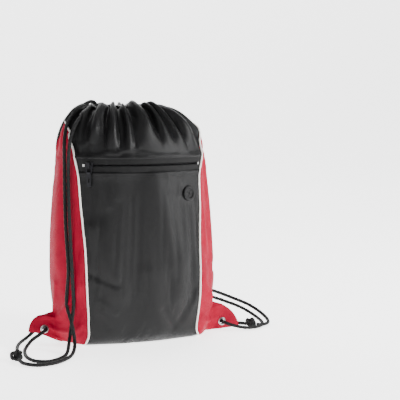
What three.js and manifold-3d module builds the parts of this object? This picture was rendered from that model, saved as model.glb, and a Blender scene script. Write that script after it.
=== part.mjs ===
// Drawstring backpack, filled and standing: fabric panels, piping, zipped pocket, earphone port,
// corner eyelets and two drawcords. Millimetres, +Z up, the front faces -Y and +X is to its right.
// The origin is on the floor, midway between the tips of the two lower ears.
import * as THREE from 'three';
import { mergeVertices } from 'three/addons/utils/BufferGeometryUtils.js';
import Module from 'manifold-3d';

const wasm = await Module();
wasm.setup();

// Driving dimensions. The bag is cut from flat cloth, so a place on it is (u, h): u runs across
// from -1 at the left side seam to 1 at the right one, and h is the height above the bottom seam
// when the bag lies flat.
const BODY_X = -8.5;
const HALF_WIDTH = 178;
const HEIGHT = 445;
const HEM = 24;
const POCKET_TOP = 297;
const UPPER_LOW = 321;
const CLOTH = 1.5;
const SEAM_GAP = 0.3;
const CLEARANCE = 0.45;
const BOTTOM = 60;
const FLOOR_SETTLE = 1.6;
const CHANNEL = 9.5;
const CHANNEL_END = 0.8;

const PIPING_RADIUS = 1.5;
const PIPING_LIFT = 0.7;
const PIPING_TOP = 383;

const ZIP_Z = 256;
const ZIP_RADIUS = 150;
const ZIP_HALF_ANGLE = 34.6;
const TAPE_NEAR = 1.9;
const TAPE_FAR = 9.7;
const TAPE_THICK = 0.8;
const TEETH_NEAR = 0.7;
const TEETH_WIDE = 0.9;
const TEETH_THICK = 1.8;
const STOP_ANGLE = 1.6;
const SLIDER_ANGLE = -30.6;

const PORT_RADIUS = 11;
const PORT_NECK = 7.5;
const EYELET_RADIUS = 6.2;
const EYELET_BORE = 3.7;
const EYELET_BARREL = 4.3;
const CORD_RADIUS = 2.5;
const CORD_SIDES = 8;
const CORD_STEPS = 80;

// Closed curves round the bag, one at each flat height: half width a, half depth b, the radius of
// the front and back arcs, the heights of the curve at the front and at the side seams, and the
// place of its centre along X.
const LEVELS = [
  { h: 60, a: 118, b: 60, radius: 260, front: 20, side: 46, centre: 2 },
  { h: 120, a: 121, b: 74, radius: 240, front: 76, side: 98, centre: 1 },
  { h: 190, a: 120, b: 79, radius: 215, front: 143, side: 157, centre: 0 },
  { h: 255, a: 116, b: 78, radius: 160, front: 205, side: 212, centre: 0 },
  { h: 285, a: 114, b: 76.5, radius: 150, front: 234, side: 238, centre: 0 },
  { h: 325, a: 112, b: 76, radius: 150, front: 271, side: 272, centre: 0 },
  { h: 355, a: 104, b: 68, radius: 145, front: 300, side: 298, centre: -2 },
  { h: 383, a: 86, b: 50, radius: 118, front: 322, side: 315, centre: -6 },
  { h: 403, a: 64, b: 36, radius: 92, front: 331, side: 320, centre: -10 },
  { h: 421, a: 41, b: 25, radius: 64, front: 320, side: 314, centre: -12 },
  { h: 445, a: 38, b: 22, radius: 60, front: 341, side: 341, centre: -12 },
];

// The piping's distance from the middle of the flat front at each flat height.
const PIPING = [
  { h: 0, s: 89 },
  { h: 120, s: 94 },
  { h: 234, s: 101 },
  { h: 280, s: 107 },
  { h: 309, s: 113 },
  { h: 335, s: 129 },
  { h: 360, s: 152 },
  { h: 383, s: 177 },
];

// Drawcord routes, each from its knot through the corner eyelet, up the bag, once round the
// channel in the hem, and back down to the knot.
const LEFT_ROUTE = [
  [-189.5, -75, 3.5], [-186, -42, 3.2], [-177, -8, 4], [-160, 15, 8], [-147, 17, 17],
  [-138.6, 7, 21.3], [-138.6, -7, 21.3], [-148, -17, 18], [-162, -25, 12], [-174, -40, 4.5],
  [-179, -60, 3.1], [-180.5, -88, 3.1], [-174, -109, 3.1], [-159, -117, 3.1],
  [-141, -106, 3.1], [-127, -85, 3.6], [-116.5, -57, 14], [-111, -50.5, 40], [-107.8, -48.6, 62],
  [-110.4, -52.8, 105], [-112.2, -49.2, 174], [-111.4, -41, 230], [-110.4, -41.2, 270],
  [-107.2, -40.5, 294], [-98.5, -35.4, 312.5], [-86.5, -26.2, 325.6], [-75.5, -15.5, 333.5],
  [-63, -4.2, 337], [-51.5, -8, 332], [-38.5, -15.2, 332], [-20.5, -18, 332],
  [-2.5, -15.2, 332], [8.5, -9.5, 332], [12.5, 0, 332], [8.5, 9.5, 332], [-2.5, 15.2, 332],
  [-20.5, 18, 332], [-38.5, 15.2, 332], [-51.5, 8, 332], [-64, 2, 343.5], [-75.5, -1.5, 340.5],
  [-89, -6.5, 330.5], [-105, -19, 316.5], [-113.2, -31.4, 296], [-115.4, -36, 250],
  [-116.4, -43.2, 176], [-114.6, -48.2, 110], [-116, -42.5, 62], [-112.5, -56, 38],
  [-110.5, -64, 13], [-120, -90, 4.2], [-135, -113, 3.1], [-154, -128, 3.1],
  [-176, -131, 3.1], [-191, -116, 3.2], [-194.5, -98, 4],
];
const RIGHT_ROUTE = [
  [176, 4, 3.8], [161.5, 20, 4.5], [144.5, 21, 11], [133.4, 7, 12.2], [133.4, -7, 12.2],
  [145, -17, 8], [164, -22, 4], [184, -19, 3.3], [202, 1, 3.4], [202, 26, 9], [187, 50, 20],
  [163, 64, 30], [142, 69, 38], [120, 67, 51], [103, 62.5, 67], [89, 60, 95], [85, 59.4, 165],
  [79.8, 53.4, 235], [81.6, 52.2, 267], [71.6, 40.6, 312], [50.4, 23, 329.8],
  [38, 13.4, 331], [26, 6.6, 328.4], [10.5, 7.5, 323.5], [-2.5, 15.2, 323.5],
  [-20.5, 18, 323.5], [-38.5, 15.2, 323.5], [-50, 9, 323.5], [-53.5, 0, 323.5],
  [-50, -9, 323.5], [-38.5, -15.2, 323.5], [-20.5, -18, 323.5], [-2.5, -15.2, 323.5],
  [10.5, -7.5, 323.5], [27, -1, 327.5], [44, 7.6, 331], [57, 16.4, 329.6], [78, 34.4, 312.2],
  [89.2, 46, 267], [87.4, 48.4, 235], [92.8, 53.4, 165], [96.6, 53.5, 92], [112, 58.5, 66],
  [130, 64, 53], [153, 67, 44], [177, 62, 34], [199, 46, 24], [213, 24, 12], [213, 4, 5],
  [202, -7, 3.6], [189, -7, 4],
];
const LEFT_KNOT = [-194.5, -86, 7.3];
const RIGHT_KNOT = [179.5, -6, 7.3];
const KNOT_SIZE = [9.5, 8, 7];

const smoothstep = (low, high, value) => THREE.MathUtils.smoothstep(value, low, high);

// A smooth curve through the rows of a table, read at one flat height.
function tableValue(table, key, h) {
  let i = 0;
  while (i < table.length - 2 && h > table[i + 1].h) i += 1;
  const slopeAt = (k) => {
    const before = table[Math.max(k - 1, 0)];
    const after = table[Math.min(k + 1, table.length - 1)];
    return (after[key] - before[key]) / (after.h - before.h);
  };
  const span = table[i + 1].h - table[i].h;
  const t = THREE.MathUtils.clamp((h - table[i].h) / span, 0, 1);
  const start = table[i][key] * (1 + 2 * t) * (1 - t) ** 2;
  const end = table[i + 1][key] * t * t * (3 - 2 * t);
  return start + end + span * t * (1 - t) * ((1 - t) * slopeAt(i) - t * slopeAt(i + 1));
}

// A point of the front half of one closed curve: a large arc across the front that runs into a
// smaller one round to the side seam.
function ovalPoint(a, b, radius, u) {
  const corner = (2 * radius * b - a * a - b * b) / (2 * (radius - a));
  const turn = Math.asin((a - corner) / (radius - corner));
  const frontLength = radius * turn;
  const cornerLength = corner * (Math.PI / 2 - turn);
  const along = Math.abs(u) * (frontLength + cornerLength);
  if (along <= frontLength) {
    const angle = along / radius;
    return [Math.sign(u) * radius * Math.sin(angle), radius - b - radius * Math.cos(angle)];
  }
  const angle = turn + (along - frontLength) / corner;
  return [Math.sign(u) * (a - corner + corner * Math.sin(angle)), -corner * Math.cos(angle)];
}

function wallPoint(u, h) {
  const level = (key) => tableValue(LEVELS, key, h);
  const [x, y] = ovalPoint(level('a'), level('b'), level('radius'), u);
  const front = level('front');
  const z = front + (level('side') - front) * Math.abs(u) ** 3;
  return new THREE.Vector3(BODY_X + level('centre') + x, y, z);
}

// The hem above the bag's wall: up the outside, over the fold and down the inside.
function hemPoint(u, h) {
  const turn = CHANNEL / 2;
  const past = h - (HEIGHT - turn);
  const level = (key) => tableValue(LEVELS, key, Math.min(h, HEIGHT));
  let inset = 0;
  let z = level('front');
  if (past > 0) {
    const angle = Math.min(past / turn, Math.PI);
    const top = tableValue(LEVELS, 'front', HEIGHT - turn);
    inset = turn * (1 - Math.cos(angle));
    z = top + turn * Math.sin(angle) - Math.max(past - turn * Math.PI, 0);
  }
  const [x, y] = ovalPoint(level('a') - inset, level('b') - inset, level('radius') - inset, u);
  return new THREE.Vector3(BODY_X + level('centre') + x, y, z);
}

// The bottom: from the seam forward along the floor and up round the front edge. Towards each
// corner of the cloth it closes to a flat ear.
function bottomPoint(u, h) {
  const foot = wallPoint(u, BOTTOM);
  const up = wallPoint(u, BOTTOM + 1).sub(foot).normalize();
  const square = 1 - smoothstep(0.6, 1, Math.abs(u));
  const tipX = u < 0 ? 153.5 : 170.5;
  const tipZ = u < 0 ? 19 : 3;
  const seamZ = CLOTH / 2 + tipZ * smoothstep(0.62, 1, Math.abs(u));
  const seam = new THREE.Vector3(BODY_X + tipX * u, 0, seamZ);
  const third = foot.clone().sub(seam).multiplyScalar(1 / 3);
  const forward = new THREE.Vector3(0, -46, 0);
  const first = seam.clone().addScaledVector(third, 1 - square).addScaledVector(forward, square);
  const second = foot.clone().addScaledVector(third, square - 1).addScaledVector(up, -18 * square);
  return new THREE.CubicBezierCurve3(seam, first, second, foot).getPoint(h / BOTTOM);
}

// The middle of the cloth on the front half of the bag.
function clothPoint(u, h) {
  if (h > HEIGHT - HEM) return hemPoint(u, h);
  const point = h < BOTTOM ? bottomPoint(u, h) : wallPoint(u, h);
  const fromCorner = (1 - Math.abs(u)) * HALF_WIDTH + h;
  point.y *= smoothstep(58, 110, fromCorner);
  const settle = FLOOR_SETTLE * Math.max(1 - h / BOTTOM, 0);
  point.z = Math.max(point.z - settle, CLOTH / 2);
  return point;
}

function clothNormal(u, h) {
  const step = 0.004;
  const across = clothPoint(u + step, h).sub(clothPoint(u - step, h));
  const upward = clothPoint(u, h + 0.5).sub(clothPoint(u, Math.max(h - 0.5, 0)));
  return across.cross(upward).normalize();
}

// A point off the cloth by an outset, on the front (-1) or the back (1). It keeps to its own
// side of the side and bottom seams.
function offsetPoint(u, h, outset, side) {
  const inside = THREE.MathUtils.clamp(u, -0.995, 0.995);
  const point = clothPoint(u, h).addScaledVector(clothNormal(inside, h), outset);
  point.z = Math.max(point.z, 0);
  point.y = -side * Math.min(point.y, -SEAM_GAP / 2);
  return point;
}

// The half width of the cloth at one flat height: the ends of the hem's channel are left open.
const clothEdge = (h) => 1 - (1 - CHANNEL_END) * smoothstep(HEIGHT - HEM - 2, HEIGHT - HEM, h);
const pipingEdge = (h) => tableValue(PIPING, 's', h) / HALF_WIDTH;

// The change of u that keeps a panel's edge clear of the piping's cord.
function pipingMargin(h, distance) {
  const u = pipingEdge(h);
  const across = clothPoint(u + 0.01, h).distanceTo(clothPoint(u - 0.01, h)) / 0.02;
  const along = clothPoint(pipingEdge(h + 1), h + 1).distanceTo(clothPoint(u, h));
  const rise = clothPoint(u, h + 1).distanceTo(clothPoint(u, h));
  return (distance / across) * Math.max(along / rise, 1);
}

// A closed body from a grid of outer points and a grid of inner ones.
function slab(columns, rows, place) {
  const positions = [];
  for (const layer of [0, 1]) {
    for (let j = 0; j <= rows; j += 1) {
      for (let i = 0; i <= columns; i += 1) {
        positions.push(...place(i / columns, j / rows, layer).toArray());
      }
    }
  }
  const size = (columns + 1) * (rows + 1);
  const at = (i, j, layer) => layer * size + j * (columns + 1) + i;
  const faces = [];
  const quad = (a, b, c, d) => faces.push(a, b, c, a, c, d);
  for (let j = 0; j < rows; j += 1) {
    for (let i = 0; i < columns; i += 1) {
      quad(at(i, j, 0), at(i + 1, j, 0), at(i + 1, j + 1, 0), at(i, j + 1, 0));
      quad(at(i, j, 1), at(i, j + 1, 1), at(i + 1, j + 1, 1), at(i + 1, j, 1));
    }
    quad(at(0, j, 1), at(0, j, 0), at(0, j + 1, 0), at(0, j + 1, 1));
    quad(at(columns, j, 0), at(columns, j, 1), at(columns, j + 1, 1), at(columns, j + 1, 0));
  }
  for (let i = 0; i < columns; i += 1) {
    quad(at(i, 0, 1), at(i + 1, 0, 1), at(i + 1, 0, 0), at(i, 0, 0));
    quad(at(i, rows, 0), at(i + 1, rows, 0), at(i + 1, rows, 1), at(i, rows, 1));
  }
  return closedGeometry(positions, faces);
}

// Geometry from points and triangles, turned right side out.
function closedGeometry(positions, faces) {
  const corner = (k) => new THREE.Vector3().fromArray(positions, faces[k] * 3);
  let volume = 0;
  for (let k = 0; k < faces.length; k += 3) {
    volume += corner(k).dot(corner(k + 1).cross(corner(k + 2)));
  }
  if (volume < 0) faces.reverse();
  const geometry = new THREE.BufferGeometry();
  geometry.setAttribute('position', new THREE.Float32BufferAttribute(positions, 3));
  geometry.setIndex(faces);
  return geometry;
}

function toSolid(geometry) {
  const bare = geometry.clone();
  bare.deleteAttribute('normal');
  bare.deleteAttribute('uv');
  const merged = mergeVertices(bare, 1e-4);
  const vertProperties = new Float32Array(merged.attributes.position.array);
  const triVerts = new Uint32Array(merged.index.array);
  return new wasm.Manifold(new wasm.Mesh({ numProp: 3, vertProperties, triVerts }));
}

function fromSolid(solid) {
  const mesh = solid.getMesh();
  const geometry = new THREE.BufferGeometry();
  geometry.setAttribute('position', new THREE.Float32BufferAttribute(mesh.vertProperties, 3));
  geometry.setIndex(Array.from(mesh.triVerts));
  return geometry;
}

const joined = (geometries) => fromSolid(geometries.map(toSolid).reduce((sum, next) => sum.add(next)));
const cut = (geometry, ...tools) =>
  fromSolid(tools.map(toSolid).reduce((rest, tool) => rest.subtract(tool), toSolid(geometry)));

const material = (color, roughness, metalness = 0) =>
  new THREE.MeshStandardMaterial({ color, roughness, metalness });
const BLACK_CLOTH = () => material(0x232324, 0.72);
const RED_CLOTH = () => material(0xb03a49, 0.7);
const LINING_CLOTH = () => material(0x1c1c1d, 0.8);
const PIPING_CLOTH = () => material(0xece8e2, 0.6);
const ZIP_CLOTH = () => material(0x151516, 0.75);
const ZIP_COIL = () => material(0x0f0f10, 0.45);
const SILVER = () => material(0xc9c9c7, 0.3, 1);
const DARK_METAL = () => material(0x6f6f72, 0.38, 1);
const RUBBER = () => material(0x18181a, 0.55);
const CORD_CLOTH = () => material(0x141415, 0.8);

const backpack = new THREE.Group();

function add(name, geometry, finish, parent = backpack) {
  const mesh = new THREE.Mesh(geometry, finish);
  mesh.name = name;
  parent.add(mesh);
  return mesh;
}

// A piece of cloth between two edges and two flat heights, pushed in by an inset.
function panel({ side, left, right, low, high, columns, rows, thick = CLOTH, inset = () => 0 }) {
  return slab(columns, rows, (i, j, layer) => {
    const h = THREE.MathUtils.lerp(low, high, j);
    const u = THREE.MathUtils.lerp(left(h), right(h), i);
    const outset = thick * (0.5 - layer) - inset(i, j);
    return offsetPoint(u, h, outset, side);
  });
}

// The hem's end past the fold, where the inside of the channel reaches its stitch line.
const HEM_END = HEIGHT - CHANNEL / 2 + (CHANNEL / 2) * Math.PI + HEM - CHANNEL / 2 - 1;

// Heights of the hem's rows: its stitch line, the outside, the fold and the inside.
const FOLD_LOW = HEIGHT - CHANNEL / 2;
const FOLD_ROWS = [0, 1, 2, 3, 4].map((k) => FOLD_LOW + (k * CHANNEL * Math.PI) / 8);
const HEM_ROWS = [420.5, 422.5, 432, ...FOLD_ROWS, HEM_END];

// Where a round fitting stands on the cloth: its axis is the cloth's normal, on the front (-1)
// or the back (1).
function clothFrame(u, h, side) {
  const origin = clothPoint(u, h);
  const normal = clothNormal(u, h);
  if (side > 0) {
    origin.y *= -1;
    normal.y *= -1;
  }
  const turn = new THREE.Quaternion().setFromUnitVectors(new THREE.Vector3(0, 0, 1), normal);
  return new THREE.Matrix4().compose(origin, turn, new THREE.Vector3(1, 1, 1));
}

// A ring of revolution about Z from its inner and outer radius and its two heights.
function ring(inner, outer, low, high, segments = 20) {
  const profile = [[inner, low], [outer, low], [outer, high], [inner, high], [inner, low]];
  return new THREE.LatheGeometry(profile.map(([r, z]) => new THREE.Vector2(r, z)), segments)
    .rotateX(Math.PI / 2);
}

// Front: the black upper panel with its hem, and the pocket panel with the port's hole.
const portPlace = { u: 0.44, h: 264 };
const portFrame = clothFrame(portPlace.u, portPlace.h, -1);

function upperFront() {
  const edge = (h) => {
    const body = h < PIPING_TOP ? pipingEdge(h) - pipingMargin(h, PIPING_RADIUS + CLEARANCE) : 1;
    return Math.min(body, clothEdge(Math.min(h, HEIGHT)));
  };
  const wall = [UPPER_LOW, 334, 347, 360, 371, 379, PIPING_TOP + 4, 396, 405, 414];
  const heights = [...wall, ...HEM_ROWS];
  return slab(22, heights.length - 1, (i, j, layer) => {
    const h = heights[Math.round(j * (heights.length - 1))];
    const u = THREE.MathUtils.lerp(-edge(h), edge(h), i);
    return offsetPoint(u, h, CLOTH * (0.5 - layer), -1);
  });
}

add('front_upper_panel', upperFront(), BLACK_CLOTH());

const pocketEdge = (h) => pipingEdge(h) - pipingMargin(h, PIPING_RADIUS + CLEARANCE);
const pocketPanel = panel({
  side: -1,
  left: (h) => -pocketEdge(h),
  right: pocketEdge,
  low: 0,
  high: POCKET_TOP,
  columns: 14,
  rows: 17,
});
const portHole = ring(0, PORT_NECK + CLEARANCE, -8, 8).applyMatrix4(portFrame);
add('front_pocket_panel', cut(pocketPanel, portHole), BLACK_CLOTH());

// The pocket's lining hangs behind the pocket panel and is sewn into the seams round it.
const POCKET_DEPTH = 10;
const liningEdge = (h) => pipingEdge(h) + 0.03;
add('pocket_lining', panel({
  side: -1,
  left: (h) => -liningEdge(h),
  right: liningEdge,
  low: 66,
  high: 332,
  columns: 18,
  rows: 12,
  thick: 1.2,
  inset: (i, j) => {
    const fromSide = smoothstep(0, 0.09, Math.min(i, 1 - i));
    const fromEnd = smoothstep(0, 0.06, j) * (1 - smoothstep(0.95, 1, j));
    return CLOTH / 2 + 1.6 + POCKET_DEPTH * fromSide * fromEnd;
  },
}), LINING_CLOTH());

// Side panels in red, from the piping to the side seams, with the lower ears.
const eyeletPlace = { u: 0.895, h: 19 };
const eyeletHoles = [-1, 1].map((end) => {
  const place = clothPoint(end * eyeletPlace.u, eyeletPlace.h);
  const hole = ring(0, EYELET_BARREL + CLEARANCE, -9, 9).rotateX(Math.PI / 2);
  return hole.translate(place.x, 0, place.z);
});

function sidePanel(end) {
  const edge = (h) => pipingEdge(h) + pipingMargin(h, PIPING_RADIUS + CLEARANCE);
  const shape = panel({
    side: -1,
    left: (h) => end * edge(h),
    right: () => end,
    low: 0,
    high: PIPING_TOP - 8,
    columns: 7,
    rows: 22,
  });
  return cut(shape, eyeletHoles[end < 0 ? 0 : 1]);
}

add('left_side_panel', sidePanel(-1), RED_CLOTH());
add('right_side_panel', sidePanel(1), RED_CLOTH());

function backPanel() {
  const wall = [0, 12, 24, 34, 44, 52, 60, 76, 100, 130, 165, 200, 235, 270, 300, 330, 355, 378, 395];
  const heights = [...wall, ...HEM_ROWS];
  const shape = slab(20, heights.length - 1, (i, j, layer) => {
    const h = heights[Math.round(j * (heights.length - 1))];
    const edge = clothEdge(Math.min(h, HEIGHT));
    return offsetPoint(THREE.MathUtils.lerp(-edge, edge, i), h, CLOTH * (0.5 - layer), 1);
  });
  return cut(shape, ...eyeletHoles);
}

add('back_panel', backPanel(), BLACK_CLOTH());

// Piping: a round bead in each curved seam.
function beadSection(radius, sides) {
  const shape = new THREE.Shape();
  for (let k = 0; k < sides; k += 1) {
    const angle = (2 * Math.PI * k) / sides;
    const corner = [radius * Math.cos(angle), radius * Math.sin(angle)];
    if (k === 0) shape.moveTo(...corner);
    else shape.lineTo(...corner);
  }
  return shape;
}

// A curve walked evenly between its points, so that close points give close steps.
class Route extends THREE.CatmullRomCurve3 {
  getPointAt(t, target) {
    return this.getPoint(t, target);
  }

  getTangentAt(t, target) {
    return this.getTangent(t, target);
  }
}

function tube(points, radius, sides, steps) {
  const extrudePath = new Route(points, false, 'centripetal');
  return new THREE.ExtrudeGeometry(beadSection(radius, sides), { steps, extrudePath, curveSegments: 1 });
}

function piping(end) {
  const points = [];
  const rows = 30;
  for (let j = 0; j <= rows; j += 1) {
    const h = THREE.MathUtils.lerp(1.2, PIPING_TOP - 2, j / rows);
    const point = offsetPoint(end * pipingEdge(h), h, PIPING_LIFT, -1);
    point.z = Math.max(point.z, PIPING_RADIUS + 0.3);
    points.push(point);
  }
  return tube(points, PIPING_RADIUS, 6, rows + 12);
}

add('left_piping', piping(-1), PIPING_CLOTH());
add('right_piping', piping(1), PIPING_CLOTH());

// Zip: everything on it lies on a cylinder about one upright axis, so that the slider can run.
const zipAxisY = ZIP_RADIUS - tableValue(LEVELS, 'b', 305);

function zipBand(lowZ, highZ, thick, halfAngle, lift = 0) {
  const steps = 16;
  return slab(steps, 1, (i, j, layer) => {
    const angle = THREE.MathUtils.degToRad(THREE.MathUtils.lerp(-halfAngle, halfAngle, i));
    const r = ZIP_RADIUS + lift + thick * (0.5 - layer);
    const z = ZIP_Z + THREE.MathUtils.lerp(lowZ, highZ, j);
    return new THREE.Vector3(BODY_X + r * Math.sin(angle), zipAxisY - r * Math.cos(angle), z);
  });
}

const TEETH_ANGLE = ZIP_HALF_ANGLE - STOP_ANGLE - 0.4;
add('zipper_tape_upper', zipBand(TAPE_NEAR, TAPE_FAR, TAPE_THICK, ZIP_HALF_ANGLE), ZIP_CLOTH());
add('zipper_tape_lower', zipBand(-TAPE_FAR, -TAPE_NEAR, TAPE_THICK, ZIP_HALF_ANGLE), ZIP_CLOTH());
const TEETH_FAR = TEETH_NEAR + TEETH_WIDE;
add('zipper_teeth_upper', zipBand(TEETH_NEAR, TEETH_FAR, TEETH_THICK, TEETH_ANGLE), ZIP_COIL());
add('zipper_teeth_lower', zipBand(-TEETH_FAR, -TEETH_NEAR, TEETH_THICK, TEETH_ANGLE), ZIP_COIL());

// A group standing on the zip at one angle: X along the zip, Y outward from the bag, Z up.
function zipGroup(angle) {
  const group = new THREE.Group();
  const turn = THREE.MathUtils.degToRad(angle);
  const x = BODY_X + ZIP_RADIUS * Math.sin(turn);
  group.position.set(x, zipAxisY - ZIP_RADIUS * Math.cos(turn), ZIP_Z);
  group.rotation.z = turn + Math.PI;
  backpack.add(group);
  return group;
}

const box = (x, y, z, at = [0, 0, 0]) => new THREE.BoxGeometry(x, y, z).translate(...at);

function zipStop(name, angle) {
  add(name, box(3, 2.4, 3.2), SILVER(), zipGroup(angle));
}

zipStop('zipper_stop_left', STOP_ANGLE / 2 - ZIP_HALF_ANGLE);
zipStop('zipper_stop_right', ZIP_HALF_ANGLE - STOP_ANGLE / 2);

const PLATE = { long: 11, tall: 8.4, thick: 1.2, near: 1.5 };
const BRIDGE = { wide: 3, tall: 8, low: 5.5, thick: 1.2, leg: 1.3 };
const PIN_Y = 4.1;
const LINK = { width: 8.6, length: 11, bar: 1.4 };
const TAB = { width: 6, length: 18, thick: 1.2, barrel: 2.1, bore: 1.35, barrelLength: 5 };

function sliderBody() {
  const plateY = PLATE.near + PLATE.thick / 2;
  const legTall = BRIDGE.low - PLATE.near;
  const leg = (end) => box(BRIDGE.wide, legTall, BRIDGE.leg,
    [0, PLATE.near + legTall / 2 + 0.3, (end * (BRIDGE.tall - BRIDGE.leg)) / 2]);
  return joined([
    box(PLATE.long, PLATE.thick, PLATE.tall, [0, plateY, 0]),
    box(PLATE.long, PLATE.thick, PLATE.tall, [0, -plateY, 0]),
    box(4, 2 * plateY, 0.8, [-3, 0, 0]),
    leg(-1),
    leg(1),
    box(BRIDGE.wide, BRIDGE.thick, BRIDGE.tall, [0, BRIDGE.low + BRIDGE.thick / 2, 0]),
  ]);
}

function roundedRectangle(width, height, radius, shape) {
  const x = width / 2;
  const y = height / 2;
  shape.moveTo(-x + radius, -y);
  shape.lineTo(x - radius, -y);
  shape.absarc(x - radius, -y + radius, radius, -Math.PI / 2, 0);
  shape.lineTo(x, y - radius);
  shape.absarc(x - radius, y - radius, radius, 0, Math.PI / 2);
  shape.lineTo(-x + radius, y);
  shape.absarc(-x + radius, y - radius, radius, Math.PI / 2, Math.PI);
  shape.lineTo(-x, -y + radius);
  shape.absarc(-x + radius, -y + radius, radius, Math.PI, 1.5 * Math.PI);
  return shape;
}

// A plate cut from an outline, standing upright with its thickness along -Y.
function flatPlate(outline, depth) {
  const options = { depth, bevelEnabled: false, curveSegments: 4 };
  return new THREE.ExtrudeGeometry(outline, options).rotateX(Math.PI / 2);
}

// The link is a wire frame that hangs from the slider's bridge.
function pullLink() {
  const outline = roundedRectangle(LINK.width, LINK.length, 1.6, new THREE.Shape());
  const hole = [LINK.width - 2 * LINK.bar, LINK.length - 2 * LINK.bar];
  outline.holes.push(roundedRectangle(...hole, 0.5, new THREE.Path()));
  return flatPlate(outline, LINK.bar).translate(0, PIN_Y + LINK.bar / 2, (LINK.bar - LINK.length) / 2);
}

// The tab is a plate on a barrel that turns on the link's lower bar.
function pullTab() {
  const barrel = ring(TAB.bore, TAB.barrel, -TAB.barrelLength / 2, TAB.barrelLength / 2, 20)
    .rotateY(Math.PI / 2);
  const top = -TAB.barrel + 0.4;
  const outline = roundedRectangle(TAB.width, TAB.length, 2, new THREE.Shape());
  const slot = roundedRectangle(2.4, 7, 1.1, new THREE.Path());
  outline.holes.push(slot);
  const plate = flatPlate(outline, TAB.thick).translate(0, TAB.thick / 2, top - TAB.length / 2);
  return joined([barrel, plate]).translate(0, PIN_Y, LINK.bar - LINK.length);
}

const pull = zipGroup(SLIDER_ANGLE);
add('slider_body', sliderBody(), DARK_METAL(), pull);
add('pull_link', pullLink(), SILVER(), pull);
add('pull_tab', pullTab(), DARK_METAL(), pull);

// Earphone port: a rubber spool through the pocket panel with a cross slit, and its inner washer.
function portGrommet() {
  const face = CLOTH / 2 + CLEARANCE;
  const profile = [
    [0, -2.6], [PORT_NECK, -2.6], [PORT_NECK, face], [PORT_RADIUS, face], [PORT_RADIUS, face + 1],
    [PORT_RADIUS - 1.2, face + 2], [PORT_NECK, face + 2], [PORT_NECK - 1.2, face + 0.6],
    [0, face + 0.6],
  ];
  const body = new THREE.LatheGeometry(profile.map(([r, z]) => new THREE.Vector2(r, z)), 32)
    .rotateX(Math.PI / 2);
  return cut(body, box(10.4, 0.7, 20), box(0.7, 10.4, 20)).applyMatrix4(portFrame);
}

add('earphone_port_grommet', portGrommet(), RUBBER());
add('earphone_port_washer',
  ring(PORT_NECK + CLEARANCE, PORT_RADIUS, -3.2, -CLOTH / 2 - 2 * CLEARANCE)
    .applyMatrix4(portFrame), RUBBER());

// Eyelets: a flanged barrel from the front of each ear and a washer behind it.
function eyelet(end, name) {
  const place = clothPoint(end * eyeletPlace.u, eyeletPlace.h);
  const profile = [
    [EYELET_BORE, -2.3], [EYELET_BARREL, -2.3], [EYELET_BARREL, 1.4], [EYELET_RADIUS, 1.4],
    [EYELET_RADIUS, 2], [EYELET_RADIUS - 1.4, 3.1], [EYELET_BORE + 0.4, 2.6], [EYELET_BORE, 2],
    [EYELET_BORE, -2.3],
  ];
  const barrel = new THREE.LatheGeometry(profile.map(([r, z]) => new THREE.Vector2(r, z)), 28)
    .rotateX(Math.PI);
  add(name, barrel.translate(place.x, 0, place.z), SILVER());
  const washer = ring(EYELET_BARREL + CLEARANCE, EYELET_RADIUS, -2.9, -2).rotateX(Math.PI / 2);
  add(`${name}_washer`, washer.translate(place.x, 0, place.z), SILVER());
}

eyelet(-1, 'left_eyelet');
eyelet(1, 'right_eyelet');

// Drawcords and their knots.
function cord(route) {
  const points = route.map(([x, y, z]) => new THREE.Vector3(x, y, z));
  return tube(points, CORD_RADIUS, CORD_SIDES, CORD_STEPS);
}

function knot(place) {
  return new THREE.SphereGeometry(1, 12, 8).scale(...KNOT_SIZE).translate(...place);
}

add('left_cord', cord(LEFT_ROUTE), CORD_CLOTH());
add('right_cord', cord(RIGHT_ROUTE), CORD_CLOTH());
add('left_cord_knot', knot(LEFT_KNOT), CORD_CLOTH());
add('right_cord_knot', knot(RIGHT_KNOT), CORD_CLOTH());

export default backpack;
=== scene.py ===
"""Drawstring backpack, filled and standing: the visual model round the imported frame.

Lengths are in millimetres until a mesh is made, and the frame is the CAD model's: +Z up, the
front faces -Y. A place on the cloth is (u, h), as in the CAD: u runs across from -1 at the left
side seam to 1 at the right one, and h is the height above the bottom seam of the flat bag.
"""
import math

import bpy
import numpy as np
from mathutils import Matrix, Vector
from mathutils.kdtree import KDTree


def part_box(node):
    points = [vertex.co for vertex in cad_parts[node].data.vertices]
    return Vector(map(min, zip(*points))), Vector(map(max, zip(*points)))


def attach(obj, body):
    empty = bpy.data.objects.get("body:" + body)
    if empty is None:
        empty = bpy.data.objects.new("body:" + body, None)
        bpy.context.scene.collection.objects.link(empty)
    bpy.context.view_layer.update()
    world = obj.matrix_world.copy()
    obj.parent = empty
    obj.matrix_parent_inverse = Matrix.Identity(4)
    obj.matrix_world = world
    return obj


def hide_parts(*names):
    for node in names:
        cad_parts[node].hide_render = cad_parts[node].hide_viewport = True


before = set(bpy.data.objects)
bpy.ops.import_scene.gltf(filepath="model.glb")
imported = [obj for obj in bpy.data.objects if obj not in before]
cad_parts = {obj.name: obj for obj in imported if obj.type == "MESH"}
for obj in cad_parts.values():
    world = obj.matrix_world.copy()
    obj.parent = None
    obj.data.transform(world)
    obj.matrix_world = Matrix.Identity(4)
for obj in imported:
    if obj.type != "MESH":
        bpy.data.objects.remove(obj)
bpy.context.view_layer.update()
MM = 0.001
TAU = 2 * math.pi

# The cloth's driving sizes.
BODY_X = -8.5
HALF_WIDTH = 178.0
HEIGHT = 445.0
HEM = 24.0
BOTTOM = 60.0
CLOTH = 0.7
LOWEST = 0.6 * CLOTH
FLOOR_SETTLE = 1.6
FRONT, BACK = 0, 1
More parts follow.
